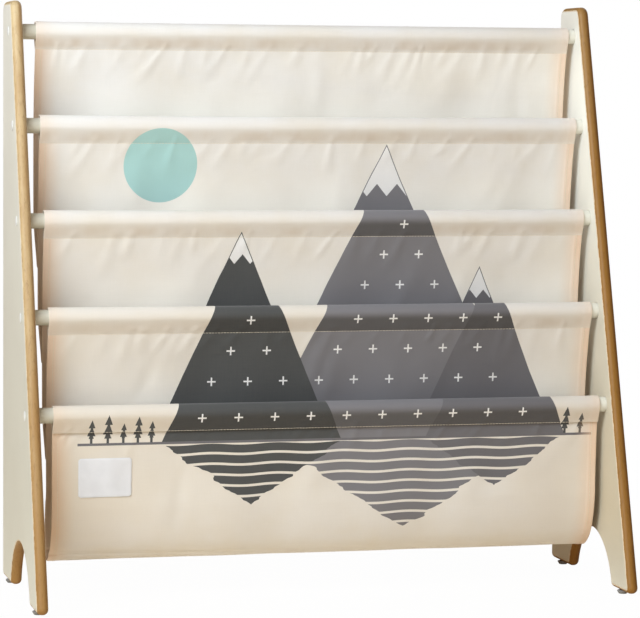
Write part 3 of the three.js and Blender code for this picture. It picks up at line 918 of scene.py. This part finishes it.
def srgb(*levels):
    """A colour of 0 to 255 as a screen shows it, in the numbers that a shader takes."""
    shares = [level / 255 for level in levels]
    return (*(s / 12.92 if s < 0.04045 else ((s + 0.055) / 1.055) ** 2.4 for s in shares), 1)


# The boards' high, low and deep paint tones are painted light falloff and painted shadow, not different paints.
PAINT_LIT_HIGH = srgb(249, 247, 237)
PAINT_DIM_LOW = srgb(224, 222, 209)
PAINT_SHADOW = srgb(198, 180, 146)
PAINT_CLOUD = srgb(150, 130, 95)
ROD_PAINT = srgb(224, 222, 210)
# The rods' left-end tone is painted shadow from the left board.
ROD_PAINT_SHADOWED = srgb(204, 200, 184)
# The pale and golden wood tones paint light falloff from top to bottom and also set the right board's deeper
# tone; the right-side tone is painted shade.
WOOD_PALE = srgb(206, 182, 140)
WOOD_GOLDEN = srgb(152, 108, 46)
WOOD_SHADED_SIDE = srgb(112, 77, 36)
WOOD_BROAD = srgb(158, 112, 56)
WOOD_DARK = srgb(104, 70, 32)
PAINT_FRINGE = srgb(240, 226, 202)
CREAM = srgb(240, 238, 235)
CREAM_WARM = srgb(236, 231, 222)
# The shaded cream is painted shade; the light cream is painted light.
CREAM_SHADED = srgb(222, 210, 192)
CREAM_PAINTED_LIGHT = srgb(255, 251, 241)
# The peach tint is painted warm shade along the cloth's edges, and a little the hems' own double cloth.
PEACH_EDGE_SHADE_AND_HEM = srgb(238, 200, 165)
# The band tone is painted shade under the rods.
BAND_SHADE_TAN = srgb(196, 172, 142)
WEAVE_SHADE = srgb(150, 140, 125)
GREY = srgb(122, 121, 126)
GREY_DEEP = srgb(105, 104, 109)
CHARCOAL = srgb(68, 71, 73)
MINT = srgb(170, 212, 209)
OFF_WHITE = srgb(242, 241, 240)
# The deep ink tone is painted shade.
INK_SHADE = srgb(38, 38, 38)
LABEL_WHITE = srgb(226, 226, 229)
LABEL_GREY = srgb(221, 221, 224)
LABEL_SHADE = srgb(200, 200, 202)
THREAD_LIGHT = srgb(236, 226, 208)
THREAD_DARK = srgb(216, 203, 180)
STEEL = srgb(176, 176, 178)
BRASS = srgb(190, 160, 100)
CAP_WHITE = srgb(254, 254, 252)
GLIDE_GREY = srgb(140, 139, 137)


def paint_look(name, roughness, tone_of):
    """Satin paint. Its tone over the piece comes from a function of the look."""
    look = Look(name, roughness)
    cloud = look.noise(9, 2).between(0.35, 0.7) * 0.06
    look.set("Base Color", look.mix(cloud, tone_of(look), PAINT_CLOUD))
    look.set("Roughness", look.noise(420, 2) * 0.16 + (roughness - 0.08))
    look.relief(look.noise(900, 2), 0.03 * MM, 0.5)
    return look.material


def board_tone(look):
    """The boards' paint, with painted light falloff, lighter high up and darker low down, and a painted shadow
    low on the right board.
    """
    height = look.z.between(0.1, 0.6)
    # Painted shadow low on the right board, where the slings shade it.
    painted_shadow = (look.x > 0) * look.z.between(0.5, 0.08) * look.z.between(-0.05, 0.1) * 0.7
    return look.mix(painted_shadow, look.mix(height, PAINT_DIM_LOW, PAINT_LIT_HIGH), PAINT_SHADOW)


def rod_tone(look):
    """The rods' paint, with the left board's shadow painted on at their left ends."""
    return look.mix(look.x.between(-0.27, -0.29), ROD_PAINT, ROD_PAINT_SHADOWED)


def wood_look():
    """Bare wood along the edge of a board, with long streaks of grain and a ragged line where the paint ends.
    Painted shade darkens it low down, as light falloff, and on each board's right half, the side turned from
    the light; it is also deeper on the right board."""
    look = Look("edge_wood", 0.5, 0.3)
    x, z = look.x, look.z
    grain = look.noise(1, 6, 0.62, (420, 420, 9), 0.6)
    broad = look.noise(1, 3, 0.5, (120, 60, 5), 0.4)
    pores = look.noise(1, 2, 0.7, (1500, 1500, 70))
    middle = (INNER_FACE + OUTER_FACE) / 2
    # Painted shade on each board's right half, the rounded side turned from the light.
    painted_side_shade = (x - middle).between(-1 * MM, 3 * MM) * 0.6
    painted_side_shade = painted_side_shade + (x + middle).between(0, 3 * MM) * (x < 0) * 0.28
    # Darker low down as painted light falloff, and deeper on the right board.
    depth = z.between(0.62, -0.1) * 0.9 + (x > 0) * 0.85
    tone = look.mix(depth.low(1.0), WOOD_PALE, WOOD_GOLDEN)
    tone = look.mix(painted_side_shade, tone, WOOD_SHADED_SIDE)
    colour = look.mix(broad.between(0.3, 0.72) * 0.45, tone, WOOD_BROAD)
    colour = look.mix(grain.between(0.5, 0.78) * 0.45, colour, WOOD_DARK)
    colour = look.mix(pores.between(0.6, 0.8) * 0.35, colour, WOOD_DARK)
    from_middle = (x.abs() - middle).abs()
    ragged = look.noise(1, 2, 0.6, (200, 160, 160)) * (0.9 * MM)
    paint_end = (from_middle + ragged) > BOARD_THICKNESS / 2 - 0.05 * MM
    colour = look.mix(paint_end * 0.8, colour, PAINT_FRINGE)
    look.set("Base Color", colour)
    look.set("Roughness", grain * 0.25 + 0.36)
    look.relief(grain, 0.08 * MM, 0.6)
    return look.material


WEAVE_PITCH = 0.85 * MM
HEM_TINT_WIDTH = 26 * MM
RIB_PITCH = 0.55 * MM


def weave(look):
    """The over and under of a plain weave, from 0 to 1."""
    turn = 2 * math.pi / WEAVE_PITCH
    return (look.x * turn).sine() * (look.z * turn).sine() * 0.5 + 0.5


SHORE_Z = 163 * MM
# Each mountain: its peak's x and z, its slope, where its cap begins, the pitch of its teeth, and its fill.
MOUNTAINS = (
    (85 * MM, 466 * MM, 2.1, 424 * MM, 22 * MM, GREY),
    (182 * MM, 338 * MM, 2.3, 312 * MM, 15 * MM, GREY_DEEP),
    (-79 * MM, 376 * MM, 2.25, 352 * MM, 17 * MM, CHARCOAL),
)
# Each pine: its x and its height, in millimetres.
PINES = ((-246, 26), (-229, 31), (-213, 22), (-198, 29), (-184, 24), (258, 30), (275, 23))
REFLECTION_SHARE = 0.31
CROSS_ARM = 4.5 * MM
CROSS_HALF_WIDTH = 0.8 * MM
CROSS_SPACING = 38 * MM
CROSS_MARGIN = 26 * MM
CAP_MARGIN = 16 * MM
SHORE_MARGIN = 8 * MM
CROSS_ROW_DROP = 5 * MM
CAP_OUTLINE = 2.2 * MM
CAP_TOOTH_SLOPE = 1.2
RIPPLE_PITCH = 11 * MM
RIPPLE_GAP = 2.6 * MM
RIPPLE_WAVE = 70 * MM
RIPPLE_SWING = 0.8 * MM
SLOPE_WOBBLE = 6 * MM
MIRRORED_WOBBLE = 60 * MM
SUN_X = -158 * MM
SUN_Z = 444 * MM
SUN_RADIUS = 39 * MM
PINE_TIERS = 3
PINE_SLOPE = 0.1
TIER_SLOPE = 0.3
TRUNK_HALF_WIDTH = 1.3 * MM
TRUNK_HEIGHT = 6 * MM
BANK_X = 14 * MM
BANK_HALF_LENGTH = 274 * MM
BANK_HALF_WIDTH = 1.3 * MM


def picture(look, plain, painted_ink_shade):
    """A generic printed landscape: mountains by a lake that mirrors them, a round sun and a few pines. Painted
    shade darkens the ink where the last argument is above 0."""
    x, z = look.x, look.z
    wobble = (look.noise(14, 2) - 0.5) * SLOPE_WOBBLE

    def over(colour, mask, top):
        return look.mix(mask, colour, top)

    def inked(fill):
        return look.mix(painted_ink_shade, fill, INK_SHADE)

    # The lake. Each ripple is a row of the upturned mountains, and the rows part in thin lines of bare cloth.
    depth = (z - SHORE_Z) * -1
    ripple = (depth + (x * (2 * math.pi / RIPPLE_WAVE)).sine() * RIPPLE_SWING).wrap(0, RIPPLE_PITCH)
    ragged = (look.noise(1, 2, 0.5, (12, 12, 90)) - 0.5) * MIRRORED_WOBBLE
    colour = plain
    for peak_x, peak_z, slope, _, _, fill in MOUNTAINS:
        mirrored = depth * (1 / REFLECTION_SHARE) + (x - peak_x).abs() * slope + ragged < peak_z - SHORE_Z
        colour = over(colour, mirrored * (depth > 0) * (ripple > RIPPLE_GAP), inked(fill))

    sun_x, sun_z = x - SUN_X, z - SUN_Z
    colour = over(colour, (sun_x * sun_x + sun_z * sun_z).root() < SUN_RADIUS, MINT)
    on_land = z > SHORE_Z

    # The crosses stand in rows that keep clear of the rods, each whole and well inside a mountain.
    pitch_z = ROD_PITCH / 3
    from_row = z - (ROD_AXES[-1][1] - CROSS_ROW_DROP)
    row = from_row.wrap(-pitch_z / 2, pitch_z / 2)
    shift = (from_row.wrap(-pitch_z / 2, 1.5 * pitch_z) > pitch_z / 2) * (CROSS_SPACING / 2)
    column = (x + shift).wrap(0, CROSS_SPACING) - CROSS_SPACING / 2
    upright = (column.abs() < CROSS_HALF_WIDTH) * (row.abs() < CROSS_ARM)
    level = (row.abs() < CROSS_HALF_WIDTH) * (column.abs() < CROSS_ARM)
    cross = upright.high(level)
    for peak_x, peak_z, slope, cap_z, pitch, fill in MOUNTAINS:
        height = z + (x - peak_x).abs() * slope - peak_z - wobble
        body = (height < 0) * on_land
        teeth = (x.wrap(0, pitch) - pitch / 2).abs() * CAP_TOOTH_SLOPE
        cap = body * ((z + teeth) > cap_z)
        centre_z = z - row
        centre_height = centre_z + (x - column - peak_x).abs() * slope - peak_z
        whole = (centre_height < -CROSS_MARGIN) * (centre_z < cap_z - CAP_MARGIN)
        whole = whole * (centre_z > SHORE_Z + SHORE_MARGIN)
        colour = over(colour, body, inked(fill))
        colour = over(colour, cap, OFF_WHITE)
        colour = over(colour, cap * (height > -CAP_OUTLINE), fill)
        colour = over(colour, cross * whole, OFF_WHITE)
    for pine_x, height in PINES:
        below_top = (z - SHORE_Z - height * MM) * -1
        tier = height * MM / PINE_TIERS
        needles = below_top * PINE_SLOPE + below_top.wrap(0, tier) * TIER_SLOPE
        across = (x - pine_x * MM).abs()
        tree = (across < needles) * (below_top > 0) * (below_top < height * MM - TRUNK_HEIGHT)
        trunk = (across < TRUNK_HALF_WIDTH) * (below_top > tier)
        colour = over(colour, tree.high(trunk) * on_land, CHARCOAL)
    bank = (depth.abs() < BANK_HALF_WIDTH) * ((x - BANK_X).abs() < BANK_HALF_LENGTH)
    return over(colour, bank, GREY_DEEP)


def canvas_look(name, printed, sewn=False):
    """Cream cotton canvas with a plain weave, slubs and soft blotches, bare or printed. Painted shade makes it
    warmer and darker low down and in a band under a rod, painted warm shade tints it along its edges, with a
    little more at the hems' double cloth, and painted light makes it lighter just above the next rod."""
    look = Look(name, 0.9, 0.25)
    x, z = look.x, look.z
    look.set("Sheen Weight", 0.25)
    look.set("Sheen Roughness", 0.5)
    blotch = look.noise(16, 3)
    slub_across = look.noise(1, 2, 0.6, (60, 60, 1400))
    slub_along = look.noise(1, 2, 0.6, (1400, 60, 60))
    colour = look.mix(blotch.between(0.3, 0.75), CREAM, CREAM_WARM)
    # Painted shade: darker and warmer low down, more towards the left.
    low = z.between(0.6, 0.12) * z.between(0.03, 0.11) * (x.between(0.15, -0.3) * 0.25 + 0.42)
    if printed and not sewn:
        # Painted light: lighter just above the next rod, where the pocket shades the cloth, and high up towards
        # the right.
        under_rod = (z - ROD_AXES[0][1]).wrap(-ROD_PITCH, 0) * -1
        lift = under_rod.between(38 * MM, 92 * MM) * under_rod.between(ROD_PITCH, ROD_PITCH - 9 * MM)
        lift = lift * (z > ROD_AXES[-1][1])
        lift = lift * (x.between(-0.3, -0.12) * 0.65 + 0.35)
        painted_light_top_right = z.between(0.46, 0.52) * x.between(-0.15, 0.2) * 0.5
        colour = look.mix(lift.high(painted_light_top_right), colour, CREAM_PAINTED_LIGHT)
        # Painted shade at the lower corners, less where painted light lifts the cloth.
        ends = z.between(0.19, 0.1) * x.abs().between(0.15, 0.28) * 0.3
        low = low * (lift * -0.6 + 1) + ends * z.between(0.03, 0.08)
    colour = look.mix(low, colour, CREAM_SHADED)
    painted_ink_shade = 0
    if sewn:
        # Painted shade in a mottled band under the rod, where the sleeve turns down to the seam, and a little
        # of the same tone all over the sleeve.
        drop = (z - ROD_AXES[0][1]).wrap(-ROD_PITCH / 2, ROD_PITCH / 2) * -1
        painted_band_shade = drop.between(2 * MM, 10 * MM) * drop.between(SEAM_DROP + 1 * MM, SEAM_DROP - 5 * MM)
        mottled = look.noise(1, 2, 0.5, (34, 34, 14), 0.3).between(0.25, 0.8) * 0.42 + 0.08
        colour = look.mix(painted_band_shade * mottled * (low * -0.9 + 1) + 0.06, colour, BAND_SHADE_TAN)
        # Painted shade on the ink from just above the rod's axis down to the seam.
        painted_ink_shade = drop.between(-4 * MM, 7 * MM) * 0.58
    if printed:
        colour = picture(look, colour, painted_ink_shade)
    middle, half_width = (CLOTH_LEFT + CLOTH_RIGHT) / 2, (CLOTH_RIGHT - CLOTH_LEFT) / 2
    from_edge = (x - middle).abs() * -1 + half_width
    patchy = (look.noise(30, 2) * 0.6 + 0.7) * (0.4 if sewn else 1.0)
    # Painted warm shade along the edges, where the side boards shade the cloth and light comes through it, with
    # a little more for the hems' double cloth.
    hem = from_edge.between(HEM_WIDTH + 1 * MM, HEM_WIDTH - 1 * MM) * 0.1
    edge_shade_and_hem = from_edge.between(HEM_TINT_WIDTH, 0) * 0.55 + hem
    colour = look.mix(edge_shade_and_hem * patchy, colour, PEACH_EDGE_SHADE_AND_HEM)
    threads = weave(look)
    shade = threads * 0.05 + slub_across * 0.06 + slub_along * 0.06
    colour = look.mix(shade, colour, WEAVE_SHADE)
    look.set("Base Color", colour)
    look.relief(threads * 0.6 + slub_across * 0.5 + slub_along * 0.5, 0.12 * MM, 0.5)
    return look.material


def label_look():
    look = Look("label_cloth", 0.7, 0.35)
    ribs = (look.z * (2 * math.pi / RIB_PITCH)).sine() * 0.5 + 0.5
    colour = look.mix(look.noise(60, 2).between(0.3, 0.7), LABEL_WHITE, LABEL_GREY)
    look.set("Base Color", look.mix(ribs * 0.05, colour, LABEL_SHADE))
    look.relief(ribs, 0.06 * MM, 0.4)
    return look.material


def thread_look():
    look = Look("thread", 0.75, 0.3)
    look.set("Base Color", look.mix(look.noise(900, 2), THREAD_LIGHT, THREAD_DARK))
    return look.material


def plastic_look(name, base, roughness):
    look = Look(name, roughness)
    darker = tuple(v * 0.92 for v in base[:3]) + (1,)
    look.set("Base Color", look.mix(look.noise(60, 2), base, darker))
    look.relief(look.noise(1500, 2), 0.02 * MM, 0.4)
    return look.material


def metal_look(name, base, roughness):
    look = Look(name, roughness)
    look.set("Metallic", 1)
    brushed = look.noise(1, 3, 0.6, (3000, 400, 400))
    darker = tuple(v * 0.8 for v in base[:3]) + (1,)
    look.set("Base Color", look.mix(brushed, base, darker))
    look.set("Roughness", brushed * 0.2 + (roughness - 0.1))
    return look.material


# The studio.


FLOOR_RADIUS = 30
FLOOR_SIDES = 96
FLOOR_FADE = (0.2, 0.6)
FLOOR_PALE = (0.9, 0.78, 0.6, 1)
FLOOR_WARM = (0.87, 0.75, 0.57, 1)
WHITE = (1, 1, 1, 1)


def camera_ray(tree):
    return Field(tree, tree.nodes.new("ShaderNodeLightPath").outputs["Is Camera Ray"])


def blend_out(tree, kind, factor, first, second):
    """Blends two shaders into the output of a tree."""
    blend = add_node(tree, "MixShader", {0: factor, 1: first, 2: second})
    output = next(node for node in tree.nodes if node.type == kind)
    feed(tree, blend.outputs[0], output.inputs["Surface"])


def floor():
    """A pale floor, which the camera sees as nearly white under the shelf and as white further out."""
    look = Look("studio_floor", 0.6, 0.2)
    distance = (look.x * look.x + look.y * look.y).root()
    white = (distance.between(*FLOOR_FADE) * 0.02 + 0.98) * camera_ray(look.tree)
    look.set("Base Color", look.mix(look.noise(3, 2), FLOOR_PALE, FLOOR_WARM))
    glow = look.tree.nodes.new("ShaderNodeEmission")
    blend_out(look.tree, "OUTPUT_MATERIAL", white, look.shader.outputs["BSDF"], glow.outputs["Emission"])
    points = [(x, y, 0) for x, y in circle((0, 0), FLOOR_RADIUS, FLOOR_SIDES)]
    ground = make_object("studio_floor", points, [range(FLOOR_SIDES)], [look.material])


def room_light(strength, colour):
    """Dim light from all round. The camera sees the room as plain white."""
    world = bpy.data.worlds.new("studio")
    world.use_nodes = True
    bpy.context.scene.world = world
    tree = world.node_tree
    dim = tree.nodes["Background"]
    feed(tree, (*colour, 1), dim.inputs["Color"])
    feed(tree, strength, dim.inputs["Strength"])
    white = add_node(tree, "Background", {"Color": WHITE})
    blend_out(tree, "OUTPUT_WORLD", camera_ray(tree), dim.outputs[0], white.outputs[0])


# Each light: its azimuth and elevation in degrees, distance, size, power and colour.
LIGHTS = {
    "key": (-47, 34, 2.2, 1.4, 51, (0.9, 1.02, 1.12)),
    "fill": (-14, 7, 2.6, 1.2, 9, (1, 0.96, 0.93)),
    "back": (140, 26, 2.6, 1.6, 19, (1, 0.98, 0.95)),
}
ROOM_STRENGTH = 0.2
ROOM_COLOUR = (1, 0.68, 0.44)


def soft_light(name, azimuth, elevation, distance, size, power, colour):
    """A square light that looks at the shelf. Azimuth 0 is in front and 90 is to the right."""
    a, e = math.radians(azimuth), math.radians(elevation)
    away = Vector((math.sin(a) * math.cos(e), -math.cos(a) * math.cos(e), math.sin(e)))
    lamp = bpy.data.lights.new(name, "AREA")
    lamp.shape = "SQUARE"
    lamp.size = size
    lamp.energy = power
    lamp.color = colour
    holder = add_object(name, lamp)
    holder.location = Vector((0, 0, PANEL_HEIGHT / 2)) + away * distance
    holder.rotation_euler = away.to_track_quat("Z", "Y").to_euler()


def camera():
    lens = bpy.data.cameras.new("photo_camera")
    lens.sensor_fit = "HORIZONTAL"
    lens.sensor_width = SENSOR_WIDTH_MM
    lens.lens = SENSOR_WIDTH_MM * PHOTO_FOCAL_PX / PHOTO_WIDTH_PX
    lens.clip_start, lens.clip_end = 0.1, 100
    holder = add_object("photo_camera", lens)
    right, up = Vector(CAMERA_RIGHT), Vector(CAMERA_UP)
    turn = Matrix((right, up, right.cross(up))).transposed().to_4x4()
    holder.matrix_world = Matrix.Translation(CAMERA_PLACE) @ turn
    bpy.context.scene.camera = holder


# The shelf, put together.


def dress_panels(paint, wood):
    for side_name, side in SIDES:
        piece = side_panel(f"board_{side_name}", side, paint, wood)
        carry(piece, "board", f"side_panel_{side_name}")


def dress_fittings(plastic, steel, brass):
    for side_name, side in SIDES:
        for index in range(ROD_COUNT):
            screw_cap(side_name, side, index, plastic)
            for kind, metal in (("screw", steel), ("insert", brass)):
                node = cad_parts[f"{kind}_{side_name}_{index + 1}"]
                node.data.materials.clear()
                node.data.materials.append(metal)


def sew(slings, sleeves, thread):
    """The threads along the seams and the hems, on both faces of the cloth."""
    for rod, points in enumerate(sleeves):
        normals = grid_normals(points)
        runs = []
        for row in (-1, 0):
            line = points[:, row] + (0, 0, SEAM_STITCH_RISE)
            out = -normals[:, row]
            runs.append((line + out * SLEEVE_THICKNESS / 2, out))
        seam = stitches(f"seam_thread_{rod + 1}", runs, thread)
        carry(seam, "sleeve_canvas")
    for index, (points, _) in enumerate(slings):
        normals = grid_normals(points)
        runs = []
        for inset in (CLOTH_LEFT + HEM_STITCH_INSET, CLOTH_RIGHT - HEM_STITCH_INSET):
            column = int(np.argmin(np.abs(points[:, 0, 0] - inset)))
            for sense in (1, -1):
                out = normals[column] * sense
                runs.append((points[column] + out * HEM_THICKNESS / 2, out))
        hem = stitches(f"hem_thread_{index + 1}", runs, thread)
        carry(hem, "canvas")


def build():
    paint = paint_look("board_paint", 0.42, board_tone)
    rod_paint = paint_look("rod_paint_look", 0.4, rod_tone)
    canvas = canvas_look("canvas_plain", False)
    printed = canvas_look("canvas_printed", True)
    sleeve_cloth = canvas_look("canvas_sleeve", True, sewn=True)
    thread = thread_look()
    dress_panels(paint, wood_look())
    for index in range(ROD_COUNT):
        round_rod(index, rod_paint)
    steel = metal_look("steel_look", STEEL, 0.35)
    brass = metal_look("brass_look", BRASS, 0.35)
    dress_fittings(plastic_look("cap_plastic", CAP_WHITE, 0.3), steel, brass)
    glide_plastic = plastic_look("glide_plastic", GLIDE_GREY, 0.5)
    for side_name, _ in SIDES:
        for foot in ("front", "rear"):
            glide(foot, side_name, glide_plastic)
    sleeves = [sleeve(rod, sleeve_cloth) for rod in range(ROD_COUNT)]
    slings = [sling(index, canvas, printed) for index in range(SLING_COUNT)]
    sew(slings, sleeves, thread)
    _, lowest_profile = slings[-1]
    label(lowest_profile, label_look())


build()
floor()
room_light(ROOM_STRENGTH, ROOM_COLOUR)
for light, values in LIGHTS.items():
    soft_light(light, *values)
camera()
bpy.context.scene.view_settings.view_transform = "Standard"
